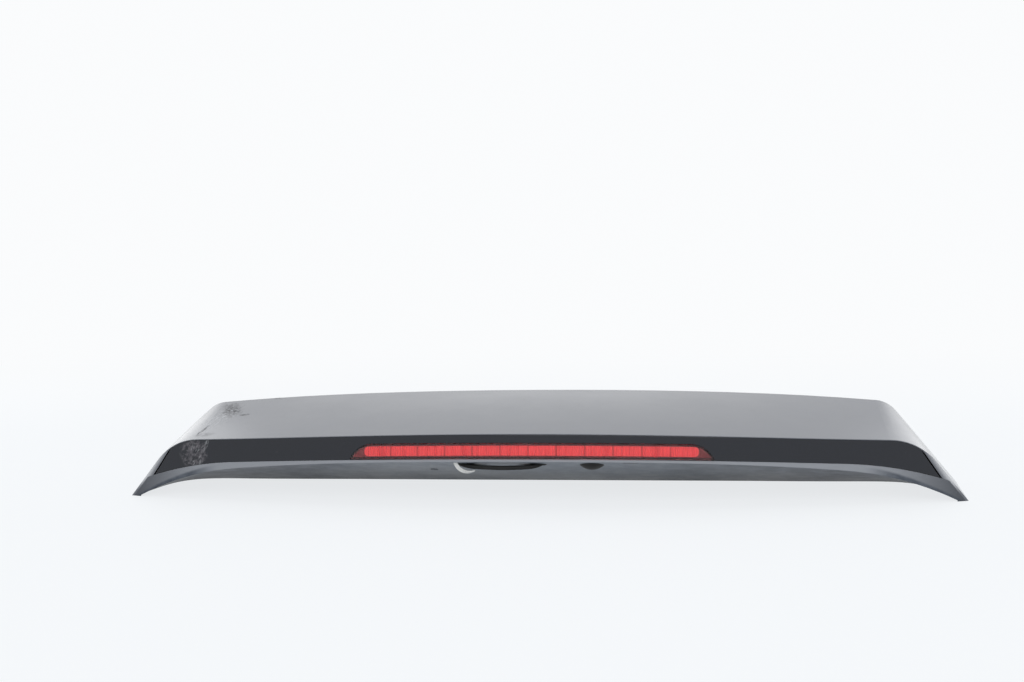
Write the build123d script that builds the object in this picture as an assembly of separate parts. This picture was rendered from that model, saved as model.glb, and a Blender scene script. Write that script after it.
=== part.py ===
from build123d import *
import math
import os

# Car roof spoiler with a high-level brake lamp, in millimetres.
# X runs across the car, Y points to the car's front, Z is up.
# The origin lies under the middle of the spoiler, on the surface it stands on.

# Overall size
span = 1200.0
depth = 228.0
lead_height = 125.5
crease_height = 104.0
wall = 3.0
seam = 0.4
play = 0.2

# Top surface: camber, and the roll-over into the flanks at the front and at the tips
camber = 4.0
front_corner_inset = 88.0
front_corner_drop = 6.0
front_foot_spread = 14.0
front_roll_radius = 22.0
tip_corner_inset = 66.0
tip_corner_drop = 29.0
tip_roll_radius = 95.0
lead_bow = 36.0
lead_overhang = 14.0
flank_front_lean = 14.0

# Rear face: lean of the band, its sweep in plan, its lower edge and the lip below it
band_lean = 14.0
band_height = 34.0
rear_bow = 73.0
band_end_run = 160.0
band_arc_drop = 14.0
band_end_height = 18.0
lip_thickness = 3.5
lip_end_height = -6.5
crease_edge = 1.0
trim_end_inset = 35.0
trim_end_lean = 34.0
trim_end_gap = 2.5

# Underside, skirt and ledge
skirt_setback = 71.0
skirt_end_inset = 92.0
skirt_corner_radius = 70.0
skirt_turn = 70.0
skirt_foot = 8.0
fin_gap = 9.4
fin_end = 15.0
ledge_height = 42.0
drain_length = 15.0
drain_width = 11.0
drain_x = -143.0
drain_run = 63.0
slit_length = 19.0
slit_width = 8.0
slit_x = 140.0
slit_run = 9.0

# Brake lamp: outline seen from behind, and depths behind the rear face
lamp_half = 254.0
lamp_height = 21.0
lamp_end_run = 34.0
lens_proud = 0.8
lens_thickness = 2.6
rim_inset = 0.6
rim_thickness = 1.2
rim_depth = 10.0
bezel_depth = 3.2
flange_depth = 5.0
flange_thickness = 3.0
housing_depth = 26.0
housing_wall = 2.0
optic_end_inset = 20.0
optic_margin = 3.7
optic_end_radius = 6.5
cell_count = 12
cell_groove = 0.8
board_depth = 19.0
board_thickness = 1.6
chip_width = 3.5
chip_height = 2.8
chip_thickness = 1.2
gasket_width = 1.2
gasket_thickness = 3.0

# Lamp screws, and the tabs and bosses they join
screw_inner = 70.0
screw_end_inset = 64.0
screw_radius = 1.6
screw_head_radius = 2.6
screw_head_height = 2.2
screw_recess = 0.8
screw_slot = 3.6
tab_width = 14.0
tab_rise = 11.4
tab_root = 1.5
tab_thickness = 2.5
boss_radius = 3.0

# Lead: its route as X, run in front of the lip and rise over the underside, and what holds it
lead_radius = 3.2
lead_route = [
    (76.0, 99.0, 42.0),
    (46.0, 86.0, 33.0),
    (36.0, 54.0, 19.0),
    (27.0, 24.0, 7.5),
    (9.0, 10.0, -4.8),
    (-32.0, 7.5, -7.6),
    (-86.0, 9.5, -5.0),
    (-112.0, 28.0, 8.5),
    (-127.0, 62.0, 20.0),
    (-132.0, 108.0, 38.0),
]
lead_bend = 0.45
lead_stub = 30.0
lamp_plug_x = 106.0
lamp_plug_width = 18.0
lamp_plug_height = 12.0
lamp_plug_length = 18.0
body_plug_x = -130.0
body_plug_width = 24.0
body_plug_length = 16.0
body_plug_height = 24.0
body_plug_nose = 14.0
nose_step = 3.0
grommet_radius = 4.6
grommet_outside = 1.5
grommet_inside = 4.5
strap_width = 5.5
strap_thickness = 1.2
strap_run = 7.0
strap_route = [
    (-104.0, 4.5, 10.0),
    (-101.0, -3.0, 10.0),
    (-95.5, -9.6, 15.0),
    (-88.5, -12.8, 35.0),
    (-81.0, -12.9, 60.0),
    (-75.0, -11.0, 80.0),
]
plug_radius = 17.0
plug_stem_radius = 12.5
plug_bead = 1.0
plug_dome = 6.5
plug_x = 87.0
plug_run = 22.0

# Mounting side: threaded inserts, locating pins, seals and buffers
fixing_run = 15.0
insert_half_inner = 150.0
insert_end_inset = 180.0
insert_radius = 4.5
insert_bore_radius = 2.6
insert_length = 12.0
insert_boss_radius = 8.0
pin_half = 290.0
pin_radius = 4.0
pin_length = 16.0
pin_spigot_radius = 2.5
pin_chamfer = 2.0
seal_end_inset = 150.0
seal_width = 6.0
seal_thickness = 6.0
seal_gap = 1.0
edge_seal_end_inset = 120.0
edge_seal_setback = 2.0
edge_seal_width = 8.0
edge_seal_thickness = 5.0
buffer_end_inset = 130.0
buffer_run = 9.0
buffer_radius = 8.0
buffer_height = 9.0
buffer_chamfer = 2.0

# Worked-out places
half = span / 2
front_corner_half = half - front_corner_inset
front_foot_half = half + front_foot_spread
tip_corner_half = half - tip_corner_inset
band_arc_half = half - band_end_run
trim_end_half = half - trim_end_inset
skirt_half = half - skirt_end_inset
insert_half_outer = half - insert_end_inset
lead_y = depth / 2
lip_y = -depth / 2
skirt_y = lead_y - skirt_setback
lean_ratio = math.tan(math.radians(band_lean))
crease_y = lip_y + (band_height + lip_thickness) * lean_ratio
tip_y = crease_y + rear_bow - crease_height * lean_ratio
turn_angle = math.radians(skirt_turn)
skirt_end_y = skirt_y - skirt_corner_radius * (1 - math.cos(turn_angle))
fin_run = (skirt_end_y - tip_y - fin_gap) / math.sin(turn_angle)
band_foot = crease_height - band_height
lip_z = band_foot - lip_thickness
panel_slope = math.degrees(math.atan2(lip_z, skirt_y - lip_y))
panel_rise = wall / math.cos(math.radians(panel_slope))
ledge_y = skirt_y + skirt_foot
fixing_y = ledge_y + fixing_run
strap_y = lip_y + strap_run
plug_y = lip_y + plug_run
ledge_top = ledge_height + wall
lamp_mid = seam + lamp_height / 2
optic_half = lamp_half - optic_end_inset
optic_height = lamp_height - 2 * optic_margin
screw_outer = lamp_half - screw_end_inset
screw_places = (-screw_outer, -screw_inner, screw_inner, screw_outer)
screw_rise = seam + lamp_height + tab_rise / 2
seat_depth = rim_depth + play
tab_depth = seat_depth + play
pitch = 2 * optic_half / cell_count

# How far cutting bodies reach past the part
clear = 60.0
overrun = 16.0
rear_reach = 0.15

LOW = (Align.CENTER, Align.CENTER, Align.MIN)
HIGH = (Align.CENTER, Align.CENTER, Align.MAX)


def blend(front, tip, y):
    """Value at a station, straight from the leading edge to the tips and beyond."""
    return front + (tip - front) * (lead_y - y) / (lead_y - tip_y)


def crown(y):
    """Height of the top surface on the centre line."""
    share = (y - crease_y) / (lead_y - crease_y)
    rise = share * (lead_height - crease_height)
    return crease_height + rise + 4 * camber * share * (1 - share)


def arch(y, inset):
    """Cross-section of the top and flanks at one station, moved in by the inset."""
    corner_x = blend(front_corner_half, tip_corner_half, y)
    corner_z = crown(y) - blend(front_corner_drop, tip_corner_drop, y)
    foot_x = blend(front_foot_half, half, y)
    roll = blend(front_roll_radius, tip_roll_radius, y)
    run = (foot_x - corner_x) / corner_z
    foot_x -= inset * math.hypot(1, run)
    corner_z -= inset
    corner_x = foot_x - corner_z * run
    low_x = foot_x + clear * run
    profile = make_face(
        [
            ThreePointArc((-corner_x, corner_z), (0, crown(y) - inset), (corner_x, corner_z)),
            Polyline((corner_x, corner_z), (low_x, -clear), (-low_x, -clear), (-corner_x, corner_z)),
        ]
    )
    corners = profile.vertices().sort_by(Axis.Y)[2:]
    return Plane.XZ.offset(-y) * fillet(corners, roll - inset)


def hull(inset):
    """Everything under the top surface and the flanks."""
    stations = (lead_y + overrun, 0, lip_y - overrun)
    return loft([arch(y, inset) for y in stations])


def rear_y(x, z):
    """Place of the leaning, bowed rear face."""
    return crease_y + rear_bow * (x / half) ** 2 + (z - crease_height) * lean_ratio


def rear_zone(inset):
    """Everything in front of the rear face, moved forward by the inset."""
    reach = half + clear
    top = crease_height + clear
    end_y = rear_y(reach, top) + inset
    plan = make_face(
        [
            ThreePointArc((-reach, end_y), (0, rear_y(0, top) + inset), (reach, end_y)),
            Polyline((reach, end_y), (reach, depth), (-reach, depth), (-reach, end_y)),
        ]
    )
    return extrude(Pos(0, 0, top) * plan, 2 * top, dir=(0, -lean_ratio, -1))


def behind(solid, start, end):
    """The slice of a solid between two depths behind the rear face."""
    return (solid & rear_zone(start)) - rear_zone(end)


def front_zone(inset):
    """Everything behind the bowed leading edge."""
    reach = half + clear
    end_y = lead_y - inset - lead_bow * (reach / front_corner_half) ** 2
    plan = make_face(
        [
            ThreePointArc((-reach, end_y), (0, lead_y - inset), (reach, end_y)),
            Polyline((reach, end_y), (reach, -depth), (-reach, -depth), (-reach, end_y)),
        ]
    )
    return extrude(Pos(0, 0, -clear) * plan, lead_height + 2 * clear)


def from_rear(profile):
    """A profile drawn as seen from behind, carried through the whole depth."""
    return extrude(Pos(0, depth, 0) * (Plane.XZ * profile), 2 * depth)


def band_edge(x):
    """Height of the rear trim's lower edge: a wide arc with drooping ends."""
    drop = band_arc_drop * (x / band_arc_half) ** 2
    if abs(x) > band_arc_half:
        past = abs(x) - band_arc_half
        end = half - band_arc_half
        slope = 2 * band_arc_drop / band_arc_half
        extra = band_foot - band_end_height - band_arc_drop - slope * end
        drop = band_arc_drop + slope * past + extra * (past / end) ** 2
    return band_foot - drop


def above_band_edge(rise):
    """Everything above the rear trim's lower edge."""
    reach = half + clear
    top = lead_height + clear
    places = (-reach, (-reach - band_arc_half) / 2, -band_arc_half, 0)
    places += tuple(-x for x in reversed(places[:-1]))
    edge = [Vector(x, band_edge(x) + rise) for x in places]
    return from_rear(
        make_face(
            [
                ThreePointArc(*edge[0:3]),
                ThreePointArc(*edge[2:5]),
                ThreePointArc(*edge[4:7]),
                Polyline(edge[6], (reach, top), (-reach, top), edge[0]),
            ]
        )
    )


def between_trim_ends(inset):
    """Everything between the rear trim's two slanted ends."""
    low = -clear
    high = lead_height + clear
    spread = math.tan(math.radians(trim_end_lean))
    foot = band_edge(trim_end_half)
    low_x = trim_end_half - inset + (foot - low) * spread
    high_x = trim_end_half - inset - (high - foot) * spread
    outline = Polyline((-low_x, low), (low_x, low), (high_x, high), (-high_x, high), (-low_x, low))
    return from_rear(make_face(outline))


def skirt_point(run):
    """Point of the skirt's edge on the table, by its length from the middle."""
    bend = skirt_corner_radius * turn_angle
    angle = min(max(run - skirt_half, 0), bend) / skirt_corner_radius
    straight = max(run - skirt_half - bend, 0)
    x = min(run, skirt_half) + skirt_corner_radius * math.sin(angle) + straight * math.cos(turn_angle)
    y = skirt_y - skirt_corner_radius * (1 - math.cos(angle)) - straight * math.sin(turn_angle)
    return Vector(x, y, 0)


def lip_point(x):
    """Point of the lip's lower edge on the rear face."""
    growth = band_end_height - lip_thickness - lip_end_height
    z = band_edge(x) - lip_thickness - growth * (x / half) ** 4
    return Vector(x, rear_y(x, z), z)


def under_zone(rise):
    """Everything below the underside, which is ruled from the lip to the skirt's edge."""
    end = skirt_half + skirt_corner_radius * turn_angle + fin_run
    shares = [0, 0.26, 0.52, 0.70, 0.79, 0.84, 0.88, 0.92, 0.96, 1]
    skirt = [skirt_point(end * share) for share in shares]
    lip = [lip_point((half - fin_end) * share) for share in shares]
    rear = [b + (b - a) * rear_reach for a, b in zip(skirt, lip)]
    knots = [(1 + share) / 2 for share in shares]
    knots = [1 - knot for knot in reversed(knots[1:])] + knots

    def across(points):
        mirrored = [Vector(-p.X, p.Y, p.Z) for p in reversed(points[1:])]
        return Edge.make_spline(mirrored + points, parameters=knots)

    ceiling = Face.make_surface_from_curves(across(rear), across(skirt))
    return extrude(Pos(0, 0, rise) * ceiling, 3 * clear, dir=(0, 0, -1))


def panel_z(y):
    """Height of the underside near the centre line."""
    return lip_z * (skirt_y - y) / (skirt_y - lip_y)


def on_panel(x, y):
    """Frame on the underside near the centre line, its Z pointing into the spoiler."""
    tilt = math.radians(panel_slope)
    return Plane((x, y, panel_z(y)), x_dir=(1, 0, 0), z_dir=(0, math.sin(tilt), math.cos(tilt)))


def on_rear_face(x, z, inset):
    """Frame on the rear face, its Z pointing into the spoiler and its Y down."""
    inward = Vector(-2 * rear_bow * x / half**2, 1, -lean_ratio)
    return Plane((x, rear_y(x, z) + inset, z), x_dir=(1, 0, 0), z_dir=inward)


def front_cut(inset):
    """Space in front of the skirt and under the ledge."""
    block = Box(2 * span, depth, ledge_height + clear, align=(Align.CENTER, Align.MIN, Align.MAX))
    return Pos(0, ledge_y - inset, ledge_height + inset) * block


def flank_cut():
    """Space in front of the flanks' slanted front edges."""
    rise = lead_height + clear
    head_y = ledge_y + rise * math.tan(math.radians(flank_front_lean))
    outline = Polyline(
        (ledge_y, 0), (head_y, rise), (depth, rise), (depth, -clear), (ledge_y, -clear), (ledge_y, 0)
    )
    side = extrude(Plane.YZ * make_face(outline), clear + half - front_corner_half)
    side = Pos(front_corner_half, 0, 0) * side
    return side + mirror(side, Plane.YZ)


def floor_box(height):
    """Everything below a height."""
    return Pos(0, 0, height) * Box(2 * span, 2 * depth, 2 * clear, align=HIGH)


def post(radius, x, y, low, high):
    """Upright cylinder between two heights."""
    return Pos(x, y, low) * Cylinder(radius, high - low, align=LOW)


def lamp_face(inset):
    """Lamp outline seen from behind: pointed lower corners, rounded upper ends."""
    end_radius = (lamp_end_run**2 + lamp_height**2) / (2 * lamp_height)
    top_x = lamp_half - lamp_end_run
    low = band_edge(top_x) + seam + inset
    high = low + lamp_height - 2 * inset
    centre_z = high + inset - end_radius
    radius = end_radius - inset
    corner_x = top_x + math.sqrt(radius**2 - (low - centre_z) ** 2)
    turn = math.atan2(corner_x - top_x, low - centre_z) / 2
    mid_x = top_x + radius * math.sin(turn)
    mid_z = centre_z + radius * math.cos(turn)
    crown_low = band_foot + seam + inset
    crown_high = crown_low + lamp_height - 2 * inset
    return make_face(
        [
            ThreePointArc((-corner_x, low), (0, crown_low), (corner_x, low)),
            ThreePointArc((corner_x, low), (mid_x, mid_z), (top_x, high)),
            ThreePointArc((top_x, high), (0, crown_high), (-top_x, high)),
            ThreePointArc((-top_x, high), (-mid_x, mid_z), (-corner_x, low)),
        ]
    )


def optic_face(inset):
    """Window of the light strip, seen from behind."""
    reach = optic_height / 2 - inset
    end_x = optic_half - inset
    end = band_edge(end_x) + lamp_mid
    centre = band_foot + lamp_mid
    profile = make_face(
        [
            ThreePointArc((-end_x, end - reach), (0, centre - reach), (end_x, end - reach)),
            Line((end_x, end - reach), (end_x, end + reach)),
            ThreePointArc((end_x, end + reach), (0, centre + reach), (-end_x, end + reach)),
            Line((-end_x, end + reach), (-end_x, end - reach)),
        ]
    )
    return fillet(profile.vertices(), optic_end_radius - inset)


def screw_frame(x, inset):
    """Frame on the axis of one lamp screw, at a depth behind the rear face."""
    return on_rear_face(x, band_edge(x) + screw_rise, 0).offset(inset * math.cos(math.radians(band_lean)))


def lamp_plug_frame():
    """Frame of the lamp's connector on the housing."""
    return on_rear_face(lamp_plug_x, band_edge(lamp_plug_x) + lamp_mid, housing_depth + play)


def lead_points():
    """Corners of the lead's route, from the lamp's connector to the car's connector."""
    frame = lamp_plug_frame()
    start = frame.origin + frame.z_dir * lamp_plug_length
    route = [start, start + frame.z_dir * lead_stub]
    route += [Vector(x, lip_y + run, panel_z(lip_y + run) + rise) for x, run, rise in lead_route]
    end = Vector(body_plug_x, fixing_y - body_plug_length / 2, ledge_top + body_plug_height / 2)
    return route + [end - Vector(0, lead_stub, 0), end]


def lead_path():
    """The lead's centre line: straight runs and tangent arcs."""
    points = lead_points()
    runs = [b - a for a, b in zip(points, points[1:])]
    radii = []
    for one, two in zip(runs, runs[1:]):
        turn = math.radians(one.get_angle(two))
        radii.append(lead_bend * min(one.length, two.length) / math.tan(turn / 2))
    print("lead radii", [round(radius, 1) for radius in radii])
    return FilletPolyline(*points, radius=radii)


def tube(path, radius):
    """Round bar along a path."""
    return sweep(Plane(path @ 0, z_dir=path % 0) * Circle(radius), path=path)


def strap_band(margin):
    """Twisted flat band that hangs from the underside and holds the lead."""
    points = [Vector(x, strap_y, panel_z(strap_y) + rise) for x, rise, _ in strap_route]
    along = Spline(*points)
    sections = []
    for point, (_, _, twist) in zip(points, strap_route):
        tangent = along.tangent_at(point)
        flat = Vector(0, 1, 0).cross(tangent).rotate(Axis((0, 0, 0), tangent), twist)
        section = Rectangle(strap_width + 2 * margin, strap_thickness + 2 * margin)
        sections.append(Plane(point, x_dir=flat, z_dir=tangent) * section)
    return loft(sections)


def make_shells(lead_hole):
    """Painted top, black rear trim and the lower shell."""
    inside = hull(wall)
    behind_trim = rear_zone(wall)
    above = above_band_edge(0)
    body = (hull(0) & rear_zone(0) & front_zone(0)) - under_zone(0) - floor_box(0)

    pocket = (hull(crease_edge) & above & between_trim_ends(0)) - behind_trim
    rear_return = (body & above) - behind_trim
    upper = (body - inside) + rear_return - pocket - flank_cut()

    strip = hull(crease_edge + seam) & rear_zone(0) & above_band_edge(seam) & between_trim_ends(trim_end_gap)
    trim = strip - behind_trim - from_rear(lamp_face(-seam))
    boss = Cylinder(boss_radius, rim_depth - wall / 2, align=LOW) - Cylinder(screw_radius, 3 * rim_depth)
    for x in screw_places:
        trim = trim + screw_frame(x, wall / 2) * boss

    core = (body & inside & front_zone(lead_overhang)) - front_cut(0)
    hollow = inside & behind_trim & front_zone(lead_overhang + wall)
    hollow = hollow - under_zone(panel_rise) - front_cut(wall) - floor_box(wall)
    lower = core - hollow - (above - behind_trim)
    for x in (insert_half_inner, insert_half_outer):
        for side_x in (-x, x):
            top = ledge_top + insert_length
            lower = lower + (post(insert_boss_radius, side_x, fixing_y, ledge_height, top) & core)
            lower = lower - post(insert_radius, side_x, fixing_y, 0, ledge_height + insert_length)
    for x in (-pin_half, pin_half):
        lower = lower - post(pin_spigot_radius, x, fixing_y, 0, ledge_top)
    nose_width = body_plug_width - 2 * nose_step
    nose_length = body_plug_length - 2 * nose_step
    nose_hole = Box(nose_width + 2 * play, nose_length + 2 * play, 4 * wall)
    lower = lower - Pos(body_plug_x, fixing_y, ledge_height) * nose_hole
    lower = lower - lead_hole - strap_band(play)
    lower = lower - on_panel(plug_x, plug_y) * Cylinder(plug_stem_radius, 4 * wall)
    drain = SlotOverall(drain_length, drain_width, rotation=90)
    lower = lower - on_panel(drain_x, lip_y + drain_run) * extrude(drain, 3 * wall, both=True)
    slit = SlotOverall(slit_length, slit_width)
    lower = lower - on_panel(slit_x, lip_y + slit_run) * extrude(slit, 3 * wall, both=True)
    return {"upper_shell": upper, "rear_trim": trim, "lower_shell": lower}


def make_lamp():
    """Brake lamp, from its outer lens to the housing and its screws."""
    room_inset = rim_inset + rim_thickness + play
    cavity_inset = room_inset + housing_wall
    outline = from_rear(lamp_face(0))
    rim = from_rear(lamp_face(rim_inset))
    rim_inside = from_rear(lamp_face(rim_inset + rim_thickness))
    room = from_rear(lamp_face(room_inset))
    cavity = from_rear(lamp_face(cavity_inset))
    board_room = from_rear(lamp_face(cavity_inset + play))

    lens_back = lens_thickness - lens_proud
    lens = behind(outline, -lens_proud, lens_back) + behind(rim - rim_inside, lens_back, rim_depth)

    flange_back = flange_depth + flange_thickness
    bezel = behind(room - from_rear(optic_face(0)), bezel_depth, flange_depth)
    optic = behind(from_rear(optic_face(play)), bezel_depth, flange_depth)
    optic = optic + behind(room, flange_depth, flange_back)
    for number in range(1, cell_count):
        x = -optic_half + pitch * number
        z = band_edge(x) + lamp_mid
        groove = Box(cell_groove, 2 * optic_height, 2 * cell_groove)
        optic = optic - on_rear_face(x, z, bezel_depth) * groove

    housing = behind(rim, seat_depth, housing_depth) + behind(room, flange_back, seat_depth)
    housing = housing - behind(cavity, 0, housing_depth - housing_wall)
    tab = Pos(0, tab_root / 2, 0) * Box(tab_width, tab_rise + tab_root, tab_thickness, align=LOW)
    tab = tab - Cylinder(screw_radius + play, 4 * tab_thickness)
    for x in screw_places:
        housing = housing + screw_frame(x, tab_depth) * tab

    board = behind(board_room, board_depth, board_depth + board_thickness)
    chip_layer = behind(board_room, board_depth - chip_thickness, board_depth)
    chips = []
    for number in range(cell_count):
        x = -optic_half + pitch * (number + 0.5)
        block = Box(chip_width, 2 * depth, chip_height)
        chips += (chip_layer & Pos(x, 0, band_edge(x) + lamp_mid) * block).solids()

    ring = from_rear(lamp_face(rim_inset - seam - gasket_width)) - from_rear(lamp_face(rim_inset - seam))
    gasket = behind(ring & above_band_edge(seam), wall, wall + gasket_thickness)

    head = Cylinder(screw_head_radius, screw_head_height, align=LOW)
    cross = Box(screw_slot, screw_recess, 2 * screw_recess) + Box(screw_recess, screw_slot, 2 * screw_recess)
    head = head - Pos(0, 0, screw_head_height) * cross
    screw = head + Cylinder(screw_radius, rim_depth - wall, align=HIGH)
    screws = [screw_frame(x, tab_depth).offset(tab_thickness) * screw for x in screw_places]
    return {
        "lamp_lens": lens,
        "lamp_bezel": bezel,
        "lamp_optic": optic,
        "lamp_housing": housing,
        "lamp_board": board,
        "lamp_chips": Compound(chips),
        "lamp_gasket": gasket,
        "lamp_screws": Compound(screws),
    }


def make_lead(path, lead_hole):
    """Lead with its connectors, grommets, strap, and the rubber plug beside it."""
    lead = tube(path, lead_radius)
    lamp_plug = Box(lamp_plug_width, lamp_plug_height, lamp_plug_length, align=LOW)

    nose_width = body_plug_width - 2 * nose_step
    nose_length = body_plug_length - 2 * nose_step
    body_plug = Box(body_plug_width, body_plug_length, body_plug_height, align=LOW)
    body_plug = body_plug + Box(nose_width, nose_length, wall + body_plug_nose, align=HIGH)

    layer = Box(span, depth, grommet_outside + panel_rise + grommet_inside, align=LOW)
    layer = on_panel(0, plug_y) * (Pos(0, 0, -grommet_outside) * layer)
    grommets = (lead_hole - lead) & layer

    base = on_panel(plug_x, plug_y)
    ball_radius = (plug_radius**2 + plug_dome**2) / (2 * plug_dome)
    ball = Pos(0, 0, ball_radius - plug_dome) * Sphere(ball_radius)
    plug = (base * ball) & under_zone(0)
    stem = Cylinder(plug_stem_radius, plug_dome / 2 + panel_rise + 2 * plug_bead, align=LOW)
    plug = plug + base * (Pos(0, 0, -plug_dome / 2) * stem)
    bead = Cylinder(plug_stem_radius + plug_bead, plug_bead, align=LOW)
    plug = plug + base * (Pos(0, 0, panel_rise + plug_bead) * bead)
    return {
        "lamp_lead": lead,
        "lamp_plug": lamp_plug_frame() * lamp_plug,
        "body_plug": Pos(body_plug_x, fixing_y, ledge_top) * body_plug,
        "lead_grommets": grommets,
        "lead_strap": strap_band(0),
        "rubber_plug": plug,
    }


def make_fixings():
    """Threaded inserts, locating pins, seals and buffers of the mounting side."""
    inserts = []
    for x in (-insert_half_outer, -insert_half_inner, insert_half_inner, insert_half_outer):
        top = ledge_height + insert_length
        insert = post(insert_radius, x, fixing_y, ledge_height, top)
        inserts.append(insert - post(insert_bore_radius, x, fixing_y, 0, top + wall))

    pins = []
    for x in (-pin_half, pin_half):
        pin = Cylinder(pin_radius, pin_length, align=HIGH)
        pin = chamfer(pin.edges().sort_by(Axis.Z)[0], pin_chamfer)
        pin = pin + Cylinder(pin_spigot_radius, wall, align=LOW)
        pin = pin + Pos(0, 0, wall) * Cylinder(pin_radius, wall, align=LOW)
        pins.append(Pos(x, fixing_y, ledge_height) * pin)

    seal_length = 2 * (half - seal_end_inset)
    foam = Box(seal_length, seal_width, seal_thickness, align=(Align.CENTER, Align.MIN, Align.MAX))
    ring = hull(wall) - hull(wall + edge_seal_thickness)
    ring = (ring & front_zone(edge_seal_setback)) - front_zone(edge_seal_setback + edge_seal_width)
    edge_seal = ring & Pos(0, 0, lead_height) * Box(2 * (half - edge_seal_end_inset), 2 * depth, 2 * clear)

    buffers = []
    for x in (buffer_end_inset - half, half - buffer_end_inset):
        buffer = Cylinder(buffer_radius, buffer_height, align=HIGH)
        buffer = chamfer(buffer.edges().sort_by(Axis.Z)[0], buffer_chamfer)
        buffers.append(Pos(x, ledge_y + buffer_run, ledge_height) * buffer)
    return {
        "mount_inserts": Compound(inserts),
        "locating_pins": Compound(pins),
        "foam_seal": Pos(0, ledge_y + seal_gap, ledge_height) * foam,
        "edge_seal": edge_seal,
        "buffers": Compound(buffers),
    }


route = lead_path()
lead_hole = tube(route, grommet_radius)
nodes = make_shells(lead_hole) | make_lamp() | make_lead(route, lead_hole) | make_fixings()

os.makedirs("parts", exist_ok=True)
for name, part in nodes.items():
    export_step(part, f"parts/{name}.step")
    print(name, len(part.solids()), round(part.volume / 1000, 1))
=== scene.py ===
import math
from typing import NamedTuple

import bpy
from mathutils import Matrix, Vector

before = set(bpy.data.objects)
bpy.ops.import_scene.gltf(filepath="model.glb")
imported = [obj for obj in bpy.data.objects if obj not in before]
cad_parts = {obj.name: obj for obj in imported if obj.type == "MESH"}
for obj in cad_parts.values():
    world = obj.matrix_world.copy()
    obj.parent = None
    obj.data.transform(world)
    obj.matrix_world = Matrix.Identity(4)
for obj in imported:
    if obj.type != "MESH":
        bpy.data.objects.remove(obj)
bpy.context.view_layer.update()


class Lamp(NamedTuple):
    """A square soft lamp and the point that it is aimed at, in metres and watts."""

    place: tuple
    aim: tuple
    side: float
    watts: float


class Mark(NamedTuple):
    """A worn place: a turned ellipsoid with a torn edge, in metres and degrees.

    The grain is the scale of the noise that tears the edge. How far it tears, ragged, and how far
    the mark runs out, fade, are shares of the reach.
    """

    centre: tuple
    reach: tuple
    grain: float
    turn: tuple = (0, 0, 0)
    ragged: float = 0.5
    fade: float = 0.4


class Strokes(NamedTuple):
    """Thin broken lines in metres and degrees, and the levels of noise that draw them."""

    thickness: float
    length: float
    turn: tuple
    levels: tuple


class Speckle(NamedTuple):
    """Uneven patches: a noise, and its levels where they begin and where they are full."""

    scale: float
    detail: float
    roughness: float
    levels: tuple


class Finish(NamedTuple):
    """A plain surface: two near shades, roughness, scale of the grain and its relief in metres."""

    name: str
    dark: tuple
    light: tuple
    roughness: float
    grain: float
    relief: float
    metallic: float = 0.0
    specular: float = 0.5


def grey(value, warm=0.0):
    """A grey, warmed by more red and less blue."""
    return (value * (1 + warm), value, value * (1 - warm), 1)


# Camera of the photograph, in degrees and metres
CAMERA_AZIMUTH = 6.848
CAMERA_PITCH = 8.0
CAMERA_ROLL = -1.475
CAMERA_TARGET = Vector((-0.0244, -0.0576, 0.2270))
CAMERA_DISTANCE = 1.674
CAMERA_LENS_MM = 41.84
CAMERA_SENSOR_MM = 36.0

# Floor, and the backdrop that it sweeps up into behind the object
FLOOR_HALF_WIDTH = 7.0
FLOOR_FRONT = -7.0
SWEEP_START = 5.0
SWEEP_RADIUS = 1.5
SWEEP_STEPS = 24
WALL_HEIGHT = 5.0
FLOOR_COLOUR = (0.78, 0.81, 0.84, 1)
GLOW_COLOUR = (0.925, 0.945, 0.965, 1)
WALL_COLOUR = (0.96, 0.97, 0.98, 1)
FLOOR_ROUGHNESS = 0.5
FLOOR_SPECULAR = 0.2
# Share of even glow in the floor around the object, where the rest shows its shadow
FLOOR_GLOW = 0.82
# Distances behind the origin over which the floor pales and over which it comes to glow fully
FLOOR_PALES = (0.2, 1.5)
GLOW_RISES = (0.4, 1.2)
# On the other sides both begin this much further from the origin
PLAIN_FLOOR_REACH = 0.9

# Sky, which lights the object at one strength and is seen at another, and the lamps
SKY_COLOUR = (0.97, 0.985, 1.0, 1)
SKY_STRENGTH = 0.50
SKY_SEEN_STRENGTH = 1.0
LAMPS = {
    "top_light": Lamp((0.0, 0.65, 2.1), (0.0, 0.0, 0.0), side=2.4, watts=20.0),
    "front_light": Lamp((0.3, -2.3, 2.0), (0.0, -0.1, 0.05), side=1.6, watts=34.0),
    "left_light": Lamp((-1.75, 0.9, 0.8), (-0.45, 0.0, 0.1), side=1.5, watts=6.4),
    "right_light": Lamp((1.60, 0.9, 0.8), (0.45, 0.0, 0.1), side=1.5, watts=6.7),
}

# Levels of a noise between which it drives a surface's roughness
GLOSS_LEVELS = (0.3, 0.7)

# Paint of the upper shell
PAINT_GREY = (0.112, 0.121, 0.142, 1)
PAINT_GREY_DARK = (0.088, 0.095, 0.113, 1)
PAINT_METALLIC = 0.35
PAINT_ROUGHNESS = (0.30, 0.38)
PAINT_EDGE_RADIUS = 0.0012
FLAKE_SCALE = 1800.0
FLAKE_LEVELS = (0.15, 0.6)
FLAKE_STRENGTH = 0.5
COAT_ROUGHNESS = 0.24
# Clear coat on whole and on worn paint, and the wear that these stand for
COAT_WEIGHTS = (0.9, 0.12)
COAT_WEAR = (0.0, 0.8)

# Painted highlight: a pale strip of paint on the rolled edge beside the trim's slanted ends,
# standing in for light on that rounded edge. Their slope is across by height, the reach is the
# distance from the middle at floor height, and facing is the normal's part along Y.
TRIM_END_LEAN = 34
TRIM_END_SLOPE = math.tan(math.radians(TRIM_END_LEAN))
EDGE_PAINTED_HIGHLIGHT = (0.52, 0.53, 0.55, 1)
EDGE_HIGHLIGHT_REACH = (0.586, 0.597)
EDGE_HIGHLIGHT_HEIGHTS = (0.008, 0.030)
EDGE_HIGHLIGHT_FACING = (-0.5, -0.8)

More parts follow.
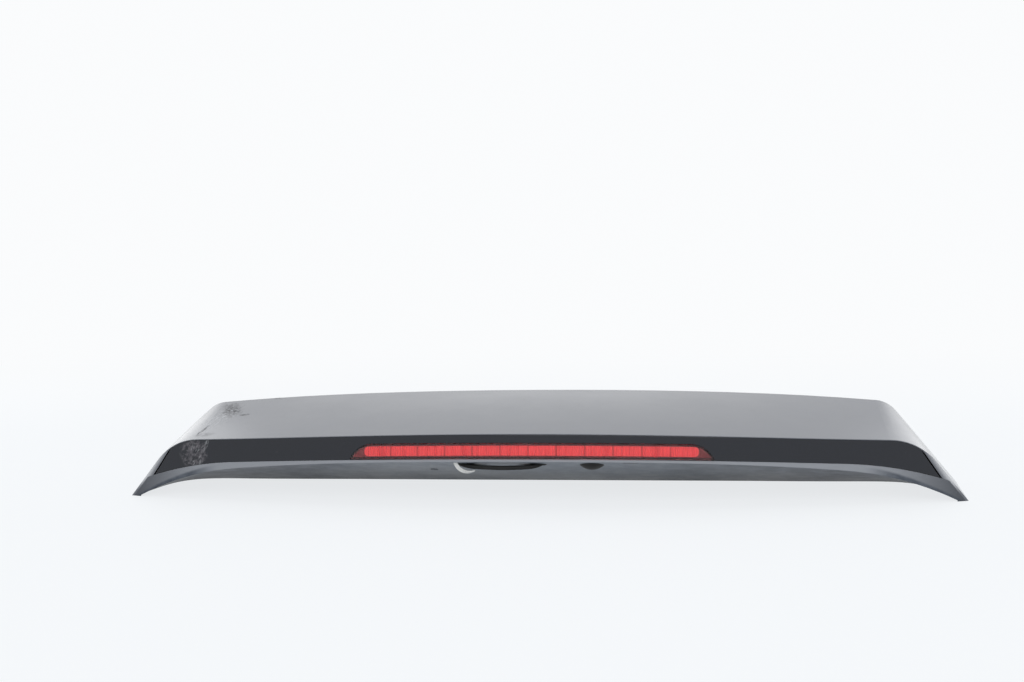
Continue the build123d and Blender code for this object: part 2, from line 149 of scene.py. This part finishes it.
# Wear on the paint's left shoulder
SCUFF_DARK = (0.03, 0.03, 0.032, 1)
SCUFF_LIGHT = (0.62, 0.63, 0.65, 1)
SHOULDER_TURN = (0, 0, 75)
SCUFF_PATCH = Mark(
    centre=(-0.475, 0.042, 0.111),
    reach=(0.044, 0.021, 0.03),
    grain=90.0,
    turn=(0, 0, 107),
    ragged=0.8,
    fade=0.8,
)
SCUFF_TAIL = Mark((-0.447, 0.018, 0.108), (0.010, 0.004, 0.02), grain=150.0, turn=(0, 0, 10))
SCUFF_CHIP = Mark((-0.417, 0.088, 0.120), (0.007, 0.004, 0.01), grain=160.0)
SCUFF_SPECKLE = Speckle(scale=300.0, detail=4.0, roughness=0.75, levels=(0.41, 0.55))
SCUFF_STRENGTH = 0.92
RUBBED_AREA = Mark(
    centre=(-0.488, 0.004, 0.102),
    reach=(0.070, 0.028, 0.03),
    grain=70.0,
    turn=SHOULDER_TURN,
    ragged=0.6,
    fade=0.8,
)
RUBBED_STROKES = Strokes(thickness=0.0022, length=0.008, turn=SHOULDER_TURN, levels=(0.48, 0.62))
RUBBED_STRENGTH = 0.55
SCRATCH = Mark((-0.495, -0.030, 0.095), (0.022, 0.0035, 0.03), grain=70.0, turn=SHOULDER_TURN)
SCRATCH_STROKES = Strokes(thickness=0.0024, length=0.014, turn=SHOULDER_TURN, levels=(0.36, 0.50))
SCRATCH_STRENGTH = 0.6
GRIME = Mark((-0.488, -0.046, 0.090), (0.024, 0.010, 0.03), grain=70.0, ragged=0.6, fade=0.8)
GRIME_SPECKLE = Speckle(scale=160.0, detail=4.0, roughness=0.65, levels=(0.35, 0.65))
GRIME_STRENGTH = 0.4
# What full wear adds to the paint's roughness, and how deep it goes in heights of the relief
SHOULDER_DULLNESS = 0.3
SHOULDER_DEPTH = 3.0

# Rear trim, with the rubbed patch at its left end: haze, curls inside it and a slash beside them
TRIM_BLACK = (0.007, 0.009, 0.015, 1)
TRIM_DUST = (0.035, 0.036, 0.042, 1)
TRIM_HAZE = (0.085, 0.080, 0.090, 1)
TRIM_IOR = 1.46
TRIM_ROUGHNESS = (0.06, 0.13)
TRIM_EDGE_RADIUS = 0.0008
DUST_SPECKLE = Speckle(scale=320.0, detail=5.0, roughness=0.7, levels=(0.60, 0.75))
DUST_STRENGTH = 0.5
SMEAR_SPECKLE = Speckle(scale=14.0, detail=5.0, roughness=0.6, levels=(0.45, 0.75))
HAZE = Mark((-0.499, -0.067, 0.067), (0.026, 0.03, 0.023), grain=80.0, ragged=0.25, fade=0.25)
HAZE_SPECKLE = Speckle(scale=190.0, detail=4.0, roughness=0.65, levels=(0.38, 0.62))
CURLS = Mark((-0.494, -0.066, 0.066), (0.015, 0.03, 0.022), grain=80.0, ragged=0.35)
CURL_STROKES = Strokes(thickness=0.0020, length=0.012, turn=(0, -66, 0), levels=(0.54, 0.68))
SLASH_TURN = (0, -64, 0)
SLASH = Mark(
    centre=(-0.479, -0.065, 0.0775),
    reach=(0.013, 0.02, 0.0040),
    grain=120.0,
    turn=SLASH_TURN,
    ragged=0.8,
    fade=0.8,
)
SLASH_STROKES = Strokes(thickness=0.0014, length=0.012, turn=SLASH_TURN, levels=(0.45, 0.65))
CURL_STRENGTH = 0.32
# How much the haze counts as wear, and what full wear adds to the trim's roughness
HAZE_WEAR = 0.6
TRIM_DULLNESS = 0.35

# Lower shell: a pale lip with painted shade that darkens it to the tips, and an underside painted as
# a shaded copy of the same grey, darker at the ends and paler to the middle, by distances from the
# middle.
# The underside is what faces down, by the normal's part along Z.
LIP_GREY = (0.276, 0.288, 0.312, 1)
LIP_PAINTED_SHADE = (0.088, 0.094, 0.106, 1)
LIP_SHADE_SPAN = (0.50, 0.64)
UNDER_PAINTED_SHADE = (0.062, 0.071, 0.088, 1)
UNDER_PAINTED_SHADE_PALE = (0.235, 0.260, 0.295, 1)
PAINTED_SHADE_FACING = (-0.05, -0.45)
UNDER_SHADE_EASES = (0.50, 0.05)
UNDER_SHADE_EASE_SHARES = (0.0, 0.65)
UNDER_DIRT = Speckle(scale=38.0, detail=5.0, roughness=0.65, levels=(0.35, 0.75))
UNDER_DIRT_SHARE = 0.35
# How far at most a cloudy noise shifts these changes towards the middle
CLOUD_SHIFT = 0.06
SHELL_IOR = 1.2
SHELL_SPECULAR = 0.3
SHELL_ROUGHNESS = (0.36, 0.48)
SHELL_EDGE_RADIUS = 0.0016

# Lower edge of the lip towards the tips: a parabola from this distance and height down
LIP_EDGE_START = 0.38
LIP_EDGE_HEIGHT = 0.0526
LIP_EDGE_DROP = 1.326
# Painted shade: a dark rim along that edge, standing in for the shaded face that turns under.
# Heights above the edge, and distances past its start, over which it comes
SHADE_RIM_HEIGHTS = (0.0095, 0.0055)
SHADE_RIM_BEGINS = (0.07, 0.13)

# Lamp: clear lens, dark bezel, and the optic with its flutes and the lines between its cells
LENS_RED = (1.0, 0.50, 0.52, 1)
LENS_IOR = 1.45
LENS_HAZE_LEVELS = (0.4, 0.8)
LENS_ROUGHNESS = (0.02, 0.09)
OPTIC_RED = (1.0, 0.22, 0.23, 1)
OPTIC_RED_DARK = (0.74, 0.10, 0.12, 1)
OPTIC_METALLIC = 0.45
OPTIC_ROUGHNESS = (0.22, 0.4)
OPTIC_PATCH_LEVELS = (0.30, 0.52)
OPTIC_STREAK_LEVELS = (0.36, 0.58)
OPTIC_STREAK_STRENGTHS = (0.5, 0.0)
OPTIC_CELL_LENGTH = 0.039
OPTIC_LINE_LEVELS = (0.0, 0.02)
OPTIC_LINE_STRENGTH = 0.35
FLUTE_SCALE = 95.0
FLUTE_DEPTH = 0.0007
BEZEL_RED = (0.090, 0.008, 0.014, 1)
BEZEL_RED_LIGHT = (0.130, 0.012, 0.020, 1)
# Length of the wave texture at a scale of 1, and a reach that makes a pattern vary along X alone
WAVE_LENGTH = 2 * math.pi / 20
ALONG_X = (1, 1000, 1000)

# Woven tape of the strap, whose threads cross at a right angle
TAPE_WHITE_DARK = (0.62, 0.62, 0.60, 1)
TAPE_WHITE = (0.86, 0.86, 0.84, 1)
TAPE_ROUGHNESS = 0.75
TAPE_TURN = 40
THREAD_SCALE = 420.0
THREAD_HEIGHT = 0.0002

# Plain finishes, and what is the same in all of them
BOARD_GREEN = (0.02, 0.10, 0.04, 1)
BOARD_GREEN_LIGHT = (0.03, 0.15, 0.06, 1)
CHIP_YELLOW = (0.8, 0.7, 0.35, 1)
CHIP_YELLOW_LIGHT = (0.9, 0.85, 0.6, 1)
BRASS_DARK = (0.55, 0.38, 0.14, 1)
BRASS_LIGHT = (0.7, 0.52, 0.22, 1)
RUBBER = Finish("black_rubber", grey(0.008), grey(0.015), 0.60, 700.0, 0.00008, specular=0.2)
MOULDED = Finish("black_moulding", grey(0.015), grey(0.022), 0.40, 900.0, 0.00005)
BEZEL = Finish("dark_red_bezel", BEZEL_RED, BEZEL_RED_LIGHT, 0.25, 500.0, 0.00002)
BOARD = Finish("circuit_board", BOARD_GREEN, BOARD_GREEN_LIGHT, 0.35, 400.0, 0.00004)
CHIPS = Finish("chip_lens", CHIP_YELLOW, CHIP_YELLOW_LIGHT, 0.2, 900.0, 0.00002)
GASKET = Finish("sealing_foam", grey(0.018), grey(0.03), 0.85, 1500.0, 0.0003)
ZINC = Finish("zinc_screw", grey(0.5, 0.02), grey(0.62, 0.02), 0.3, 1200.0, 0.00003, metallic=1.0)
BRASS = Finish("turned_brass", BRASS_DARK, BRASS_LIGHT, 0.3, 1200.0, 0.00004, metallic=1.0)
NATURAL = Finish("natural_moulding", grey(0.5, 0.03), grey(0.6, 0.03), 0.45, 800.0, 0.00004)
FOAM = Finish("foam", grey(0.02), grey(0.035), 0.9, 1100.0, 0.0005)
PLAIN_SHADE_LEVELS = (0.35, 0.65)
PLAIN_ROUGHNESS_SWING = 0.06
PLAIN_EDGE_RADIUS = 0.0003

# Places of the colour sockets among those that the mix node has for each kind of data
MIX_COLOUR_ONE = 6
MIX_COLOUR_TWO = 7
MIX_COLOUR_RESULT = 2


class Look:
    """A procedural material in the making, laid out in the object's own metres."""

    def __init__(self, name):
        self.material = bpy.data.materials.new(name)
        self.material.use_nodes = True
        self.tree = self.material.node_tree
        self.shader = self.tree.nodes["Principled BSDF"]
        self.place = self.node("ShaderNodeTexCoord").outputs["Object"]

    def node(self, kind, **settings):
        made = self.tree.nodes.new(kind)
        for name, value in settings.items():
            setattr(made, name, value)
        return made

    def put(self, socket, value):
        """Link a socket to another, or set its constant."""
        if isinstance(value, bpy.types.NodeSocket):
            self.tree.links.new(value, socket)
        else:
            socket.default_value = value

    def set(self, **values):
        """Set or link the shader's sockets; spaces in their names are underscores."""
        for name, value in values.items():
            self.put(self.shader.inputs[name.replace("_", " ")], value)

    def maths(self, operation, one, two):
        made = self.node("ShaderNodeMath", operation=operation)
        self.put(made.inputs[0], one)
        self.put(made.inputs[1], two)
        return made.outputs["Value"]

    def plus(self, one, two):
        return self.maths("ADD", one, two)

    def minus(self, one, two):
        return self.maths("SUBTRACT", one, two)

    def times(self, one, two):
        return self.maths("MULTIPLY", one, two)

    def most(self, value, *others):
        """The largest of several values."""
        for other in others:
            value = self.maths("MAXIMUM", value, other)
        return value

    def spread(self, value, levels, to=(0.0, 1.0)):
        """Stretch a value smoothly from two of its levels onto two others."""
        made = self.node("ShaderNodeMapRange", interpolation_type="SMOOTHSTEP")
        self.put(made.inputs["Value"], value)
        for name, level in zip(("From Min", "From Max", "To Min", "To Max"), (*levels, *to)):
            self.put(made.inputs[name], level)
        return made.outputs["Result"]

    def mixed(self, share, one, two):
        made = self.node("ShaderNodeMix", data_type="RGBA")
        self.put(made.inputs["Factor"], share)
        self.put(made.inputs[MIX_COLOUR_ONE], one)
        self.put(made.inputs[MIX_COLOUR_TWO], two)
        return made.outputs[MIX_COLOUR_RESULT]

    def axis(self, vector, name):
        """One coordinate of a vector."""
        split = self.node("ShaderNodeSeparateXYZ")
        self.put(split.inputs["Vector"], vector)
        return split.outputs[name]

    def length(self, vector):
        made = self.node("ShaderNodeVectorMath", operation="LENGTH")
        self.put(made.inputs[0], vector)
        return made.outputs["Value"]

    def outward(self):
        """Distance from the middle plane."""
        return self.maths("ABSOLUTE", self.axis(self.place, "X"), 0.0)

    def height(self):
        return self.axis(self.place, "Z")

    def facing(self, name, levels):
        """How far the surface faces along an axis, from 0 at one level to 1 at the other."""
        normal = self.node("ShaderNodeTexCoord").outputs["Normal"]
        return self.spread(self.axis(normal, name), levels)

    def local(self, centre=(0, 0, 0), reach=(1, 1, 1), turn=(0, 0, 0)):
        """The place, measured from a centre along turned axes, in units of the reach."""
        mapping = self.node("ShaderNodeMapping", vector_type="TEXTURE")
        self.put(mapping.inputs["Vector"], self.place)
        self.put(mapping.inputs["Location"], centre)
        self.put(mapping.inputs["Rotation"], [math.radians(angle) for angle in turn])
        self.put(mapping.inputs["Scale"], reach)
        return mapping.outputs["Vector"]

    def noise(self, scale, detail, roughness=0.5, vector=None):
        made = self.node("ShaderNodeTexNoise")
        self.put(made.inputs["Vector"], vector or self.place)
        self.put(made.inputs["Scale"], scale)
        self.put(made.inputs["Detail"], detail)
        self.put(made.inputs["Roughness"], roughness)
        return made.outputs["Fac"]

    def cells(self, scale):
        made = self.node("ShaderNodeTexVoronoi")
        self.put(made.inputs["Vector"], self.place)
        self.put(made.inputs["Scale"], scale)
        return made.outputs["Distance"]

    def waves(self, scale, vector):
        made = self.node("ShaderNodeTexWave", bands_direction="X")
        self.put(made.inputs["Vector"], vector)
        self.put(made.inputs["Scale"], scale)
        return made.outputs["Fac"]

    def speckle(self, kind):
        """Uneven patches all over."""
        return self.spread(self.noise(kind.scale, kind.detail, kind.roughness), kind.levels)

    def strokes(self, kind):
        """Thin broken lines along one direction, all over."""
        reach = (kind.length, kind.thickness, kind.thickness)
        vector = self.local(reach=reach, turn=kind.turn)
        return self.spread(self.noise(1.0, detail=3.0, roughness=0.6, vector=vector), kind.levels)

    def spot(self, mark):
        """1 inside a worn place, fading to 0 at its torn edge."""
        away = self.length(self.local(mark.centre, mark.reach, mark.turn))
        torn = self.minus(self.noise(mark.grain, detail=5.0, roughness=0.65), 0.5)
        away = self.plus(away, self.times(torn, 2 * mark.ragged))
        return self.spread(away, (1.0, 1.0 - mark.fade))

    def gloss(self, noise, roughness):
        """Roughness that a noise drives from one value to another."""
        return self.spread(noise, GLOSS_LEVELS, roughness)

    def bump(self, relief, distance, strength, edge=None):
        """Surface relief in metres, over edges rounded by a radius."""
        made = self.node("ShaderNodeBump")
        self.put(made.inputs["Strength"], strength)
        self.put(made.inputs["Distance"], distance)
        self.put(made.inputs["Height"], relief)
        if edge is not None:
            rounded = self.node("ShaderNodeBevel", samples=6)
            self.put(rounded.inputs["Radius"], edge)
            self.put(made.inputs["Normal"], rounded.outputs["Normal"])
        self.set(Normal=made.outputs["Normal"])


def painted_edge_highlight(look):
    """Painted highlight: 1 on the paint's rolled edge beside the trim's slanted ends, where it faces
    the rear.
    """
    reach = look.plus(look.outward(), look.times(look.height(), TRIM_END_SLOPE))
    strip = look.spread(reach, EDGE_HIGHLIGHT_REACH)
    strip = look.times(strip, look.spread(look.height(), EDGE_HIGHLIGHT_HEIGHTS))
    return look.times(strip, look.facing("Y", EDGE_HIGHLIGHT_FACING))


def shoulder_wear(look):
    """Light rubbed strokes, and dark scuffs, scratch and grime, on the left shoulder."""
    rubbed = look.times(look.spot(RUBBED_AREA), look.strokes(RUBBED_STROKES))
    scuffs = look.most(look.spot(SCUFF_PATCH), look.spot(SCUFF_TAIL), look.spot(SCUFF_CHIP))
    scuffs = look.times(scuffs, look.speckle(SCUFF_SPECKLE))
    scratch = look.times(look.spot(SCRATCH), look.strokes(SCRATCH_STROKES))
    grime = look.times(look.spot(GRIME), look.speckle(GRIME_SPECKLE))
    dark = look.most(
        look.times(scuffs, SCUFF_STRENGTH),
        look.times(scratch, SCRATCH_STRENGTH),
        look.times(grime, GRIME_STRENGTH),
    )
    return rubbed, dark


def paint_look():
    """Grey metallic paint under clear coat, scuffed at the left end as in the photograph."""
    look = Look("grey_paint")
    flakes = look.spread(look.cells(FLAKE_SCALE), FLAKE_LEVELS)
    colour = look.mixed(look.times(flakes, FLAKE_STRENGTH), PAINT_GREY, PAINT_GREY_DARK)
    # Painted highlight: a pale strip on the rolled edge beside the trim's ends
    colour = look.mixed(painted_edge_highlight(look), colour, EDGE_PAINTED_HIGHLIGHT)
    rubbed, dark = shoulder_wear(look)
    colour = look.mixed(look.times(rubbed, RUBBED_STRENGTH), colour, SCUFF_LIGHT)
    colour = look.mixed(dark, colour, SCUFF_DARK)
    worn = look.most(rubbed, dark)
    cloud = look.noise(scale=9.0, detail=4.0)
    rough = look.plus(look.gloss(cloud, PAINT_ROUGHNESS), look.times(worn, SHOULDER_DULLNESS))
    look.set(Base_Color=colour, Metallic=PAINT_METALLIC, Roughness=rough)
    coat = look.spread(worn, COAT_WEAR, COAT_WEIGHTS)
    look.set(Coat_Weight=coat, Coat_Roughness=COAT_ROUGHNESS)
    relief = look.noise(scale=420.0, detail=2.0)
    relief = look.plus(relief, look.times(worn, -SHOULDER_DEPTH))
    look.bump(relief, distance=0.00004, strength=0.5, edge=PAINT_EDGE_RADIUS)
    return look.material


def trim_look():
    """Gloss black moulding with dust, smears and the rubbed patch at its left end."""
    look = Look("gloss_black")
    dust = look.times(look.speckle(DUST_SPECKLE), DUST_STRENGTH)
    colour = look.mixed(dust, TRIM_BLACK, TRIM_DUST)
    haze = look.times(look.spot(HAZE), look.speckle(HAZE_SPECKLE))
    curls = look.times(look.spot(CURLS), look.strokes(CURL_STROKES))
    slash = look.times(look.spot(SLASH), look.strokes(SLASH_STROKES))
    white = look.times(look.most(curls, slash), CURL_STRENGTH)
    colour = look.mixed(haze, colour, TRIM_HAZE)
    colour = look.mixed(white, colour, SCUFF_LIGHT)
    worn = look.most(look.times(haze, HAZE_WEAR), white)
    smears = look.spread(look.speckle(SMEAR_SPECKLE), (0.0, 1.0), TRIM_ROUGHNESS)
    rough = look.plus(smears, look.times(worn, TRIM_DULLNESS))
    look.set(Base_Color=colour, Roughness=rough, IOR=TRIM_IOR)
    relief = look.noise(scale=240.0, detail=2.0)
    look.bump(relief, distance=0.00003, strength=0.4, edge=TRIM_EDGE_RADIUS)
    return look.material


def painted_shade_rim(look):
    """Painted shade: 1 along the lip's lower edge towards the tips."""
    past = look.minus(look.outward(), LIP_EDGE_START)
    drop = look.times(look.maths("POWER", past, 2.0), LIP_EDGE_DROP)
    heights = [LIP_EDGE_HEIGHT + height for height in SHADE_RIM_HEIGHTS]
    rim = look.spread(look.plus(look.height(), drop), heights)
    return look.times(rim, look.spread(past, SHADE_RIM_BEGINS))


def shell_look():
    """Grey satin shell, with painted shade on the faces that look down and towards the tips."""
    look = Look("satin_grey")
    cloud = look.noise(scale=7.0, detail=5.0, roughness=0.6)
    out = look.plus(look.outward(), look.times(cloud, CLOUD_SHIFT))
    # Painted shade: the lip darkens towards the tips
    lip = look.mixed(look.spread(out, LIP_SHADE_SPAN), LIP_GREY, LIP_PAINTED_SHADE)
    dirt = look.times(look.speckle(UNDER_DIRT), UNDER_DIRT_SHARE)
    # Real dirt, and painted shade on the underside that lightens towards the middle
    pale = look.plus(dirt, look.spread(out, UNDER_SHADE_EASES, UNDER_SHADE_EASE_SHARES))
    under = look.mixed(pale, UNDER_PAINTED_SHADE, UNDER_PAINTED_SHADE_PALE)
    # Painted shade on the faces that look down and on a rim along the lip's lower edge near the tips
    down = look.most(look.facing("Z", PAINTED_SHADE_FACING), painted_shade_rim(look))
    look.set(Base_Color=look.mixed(down, lip, under), Roughness=look.gloss(cloud, SHELL_ROUGHNESS))
    look.set(IOR=SHELL_IOR, Specular_IOR_Level=SHELL_SPECULAR)
    relief = look.noise(scale=500.0, detail=2.0)
    look.bump(relief, distance=0.00002, strength=0.3, edge=SHELL_EDGE_RADIUS)
    return look.material


def lens_look():
    """Clear red outer lens."""
    look = Look("red_lens")
    haze = look.noise(scale=30.0, detail=5.0, roughness=0.6)
    rough = look.spread(haze, LENS_HAZE_LEVELS, LENS_ROUGHNESS)
    look.set(Base_Color=LENS_RED, Roughness=rough, Transmission_Weight=1.0, IOR=LENS_IOR)
    look.bump(look.noise(scale=150.0, detail=2.0), distance=0.00001, strength=0.02)
    return look.material


def optic_look():
    """Red light strip: fine upright flutes in cells that dark lines part."""
    look = Look("red_optic")
    along = look.local(reach=ALONG_X)
    patches = look.noise(scale=60.0, detail=2.0, roughness=0.6, vector=along)
    colour = look.mixed(look.spread(patches, OPTIC_PATCH_LEVELS), OPTIC_RED_DARK, OPTIC_RED)
    streaks = look.noise(scale=420.0, detail=2.0, roughness=0.6, vector=along)
    streaks = look.spread(streaks, OPTIC_STREAK_LEVELS, OPTIC_STREAK_STRENGTHS)
    colour = look.mixed(streaks, colour, OPTIC_RED_DARK)
    cells = look.waves(WAVE_LENGTH / OPTIC_CELL_LENGTH, along)
    lines = look.times(look.spread(cells, OPTIC_LINE_LEVELS, (1.0, 0.0)), OPTIC_LINE_STRENGTH)
    colour = look.mixed(lines, colour, BEZEL_RED_LIGHT)
    rough = look.gloss(patches, OPTIC_ROUGHNESS)
    look.set(Base_Color=colour, Metallic=OPTIC_METALLIC, Roughness=rough)
    look.bump(look.waves(FLUTE_SCALE, along), distance=FLUTE_DEPTH, strength=0.9)
    return look.material


def tape_look():
    """White woven tape."""
    look = Look("white_tape")
    warp = look.waves(THREAD_SCALE, look.local(turn=(0, TAPE_TURN, 0)))
    weft = look.waves(THREAD_SCALE, look.local(turn=(0, TAPE_TURN - 90, 0)))
    weave = look.times(warp, weft)
    look.set(Base_Color=look.mixed(weave, TAPE_WHITE_DARK, TAPE_WHITE), Roughness=TAPE_ROUGHNESS)
    look.bump(weave, distance=THREAD_HEIGHT, strength=0.8)
    return look.material


def plain_look(finish):
    """Moulded or turned surface: two near shades, uneven gloss and a fine grain."""
    look = Look(finish.name)
    cloud = look.noise(scale=40.0, detail=4.0, roughness=0.6)
    colour = look.mixed(look.spread(cloud, PLAIN_SHADE_LEVELS), finish.dark, finish.light)
    swing = PLAIN_ROUGHNESS_SWING
    rough = look.gloss(cloud, (finish.roughness - swing, finish.roughness + swing))
    look.set(Base_Color=colour, Roughness=rough)
    look.set(Metallic=finish.metallic, Specular_IOR_Level=finish.specular)
    relief = look.noise(finish.grain, detail=3.0)
    look.bump(relief, distance=finish.relief, strength=0.6, edge=PLAIN_EDGE_RADIUS)
    return look.material


def dress_nodes():
    """Give every node of the frame its material."""
    rubber = plain_look(RUBBER)
    moulded = plain_look(MOULDED)
    looks = {
        "upper_shell": paint_look(),
        "rear_trim": trim_look(),
        "lower_shell": shell_look(),
        "lamp_lens": lens_look(),
        "lamp_optic": optic_look(),
        "lamp_bezel": plain_look(BEZEL),
        "lamp_housing": moulded,
        "lamp_board": plain_look(BOARD),
        "lamp_chips": plain_look(CHIPS),
        "lamp_gasket": plain_look(GASKET),
        "lamp_screws": plain_look(ZINC),
        "lamp_lead": rubber,
        "lamp_plug": moulded,
        "body_plug": moulded,
        "lead_grommets": rubber,
        "lead_strap": tape_look(),
        "rubber_plug": rubber,
        "mount_inserts": plain_look(BRASS),
        "locating_pins": plain_look(NATURAL),
        "foam_seal": plain_look(FOAM),
        "edge_seal": rubber,
        "buffers": rubber,
    }
    for name, material in looks.items():
        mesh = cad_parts[name].data
        mesh.materials.clear()
        mesh.materials.append(material)


def seen_ray(tree):
    """1 for rays that show the background: from the camera, a mirror or a clear piece."""
    path = tree.nodes.new("ShaderNodeLightPath")
    share = path.outputs["Is Camera Ray"]
    for name in ("Is Glossy Ray", "Is Transmission Ray"):
        either = tree.nodes.new("ShaderNodeMath")
        either.operation = "MAXIMUM"
        tree.links.new(share, either.inputs[0])
        tree.links.new(path.outputs[name], either.inputs[1])
        share = either.outputs["Value"]
    return share


def floor_look():
    """Pale floor that turns into the even backdrop with distance and keeps a shadow close by."""
    look = Look("pale_floor")
    around = look.minus(look.length(look.place), PLAIN_FLOOR_REACH)
    back = look.most(look.axis(look.place, "Y"), around)
    pale = look.spread(back, FLOOR_PALES)
    look.set(Base_Color=look.mixed(pale, FLOOR_COLOUR, WALL_COLOUR))
    look.set(Roughness=FLOOR_ROUGHNESS, Specular_IOR_Level=FLOOR_SPECULAR)
    glow = look.node("ShaderNodeEmission")
    look.put(glow.inputs["Color"], look.mixed(pale, GLOW_COLOUR, WALL_COLOUR))
    shown = look.node("ShaderNodeMixShader")
    share = look.spread(back, GLOW_RISES, (FLOOR_GLOW, 1.0))
    look.put(shown.inputs["Fac"], look.times(seen_ray(look.tree), share))
    look.put(shown.inputs[1], look.shader.outputs["BSDF"])
    look.put(shown.inputs[2], glow.outputs["Emission"])
    look.put(look.tree.nodes["Material Output"].inputs["Surface"], shown.outputs["Shader"])
    return look.material


def make_stage():
    """Floor that sweeps up into the backdrop."""
    profile = [(FLOOR_FRONT, 0.0)]
    for step in range(SWEEP_STEPS + 1):
        turn = math.radians(90 * step / SWEEP_STEPS)
        back = SWEEP_START + SWEEP_RADIUS * math.sin(turn)
        profile.append((back, SWEEP_RADIUS * (1 - math.cos(turn))))
    profile.append((SWEEP_START + SWEEP_RADIUS, WALL_HEIGHT))
    points = [(side * FLOOR_HALF_WIDTH, y, z) for y, z in profile for side in (-1, 1)]
    faces = [(2 * i, 2 * i + 1, 2 * i + 3, 2 * i + 2) for i in range(len(profile) - 1)]
    mesh = bpy.data.meshes.new("stage_floor")
    mesh.from_pydata(points, [], faces)
    mesh.polygons.foreach_set("use_smooth", [True] * len(faces))
    mesh.materials.append(floor_look())
    floor = bpy.data.objects.new("stage_floor", mesh)
    bpy.context.scene.collection.objects.link(floor)


def make_light():
    """Even white surroundings and large soft lamps overhead, in front and at both ends."""
    world = bpy.data.worlds.new("studio")
    world.use_nodes = True
    tree = world.node_tree
    back = tree.nodes["Background"]
    back.inputs["Color"].default_value = SKY_COLOUR
    strength = tree.nodes.new("ShaderNodeMapRange")
    tree.links.new(seen_ray(tree), strength.inputs["Value"])
    strength.inputs["To Min"].default_value = SKY_STRENGTH
    strength.inputs["To Max"].default_value = SKY_SEEN_STRENGTH
    tree.links.new(strength.outputs["Result"], back.inputs["Strength"])
    bpy.context.scene.world = world
    for name, lamp in LAMPS.items():
        light = bpy.data.lights.new(name, "AREA")
        light.shape = "SQUARE"
        light.size = lamp.side
        light.energy = lamp.watts
        holder = bpy.data.objects.new(name, light)
        holder.visible_camera = False
        holder.location = lamp.place
        ahead = Vector(lamp.aim) - Vector(lamp.place)
        holder.rotation_euler = ahead.to_track_quat("-Z", "Y").to_euler()
        bpy.context.scene.collection.objects.link(holder)


def make_camera():
    """Camera at the photograph's viewing angle."""
    azimuth = math.radians(CAMERA_AZIMUTH)
    pitch = math.radians(CAMERA_PITCH)
    roll = math.radians(CAMERA_ROLL)
    flat = math.cos(pitch)
    back = Vector((math.sin(azimuth) * flat, -math.cos(azimuth) * flat, math.sin(pitch)))
    level = Vector((math.cos(azimuth), math.sin(azimuth), 0))
    right = math.cos(roll) * level + math.sin(roll) * back.cross(level)
    up = back.cross(right)
    camera = bpy.data.cameras.new("photo_camera")
    camera.lens = CAMERA_LENS_MM
    camera.sensor_width = CAMERA_SENSOR_MM
    holder = bpy.data.objects.new("photo_camera", camera)
    turn = Matrix((right, up, back)).transposed().to_4x4()
    holder.matrix_world = Matrix.Translation(CAMERA_TARGET + back * CAMERA_DISTANCE) @ turn
    bpy.context.scene.collection.objects.link(holder)
    bpy.context.scene.camera = holder


dress_nodes()
make_stage()
make_light()
make_camera()
bpy.context.scene.view_settings.view_transform = "Standard"
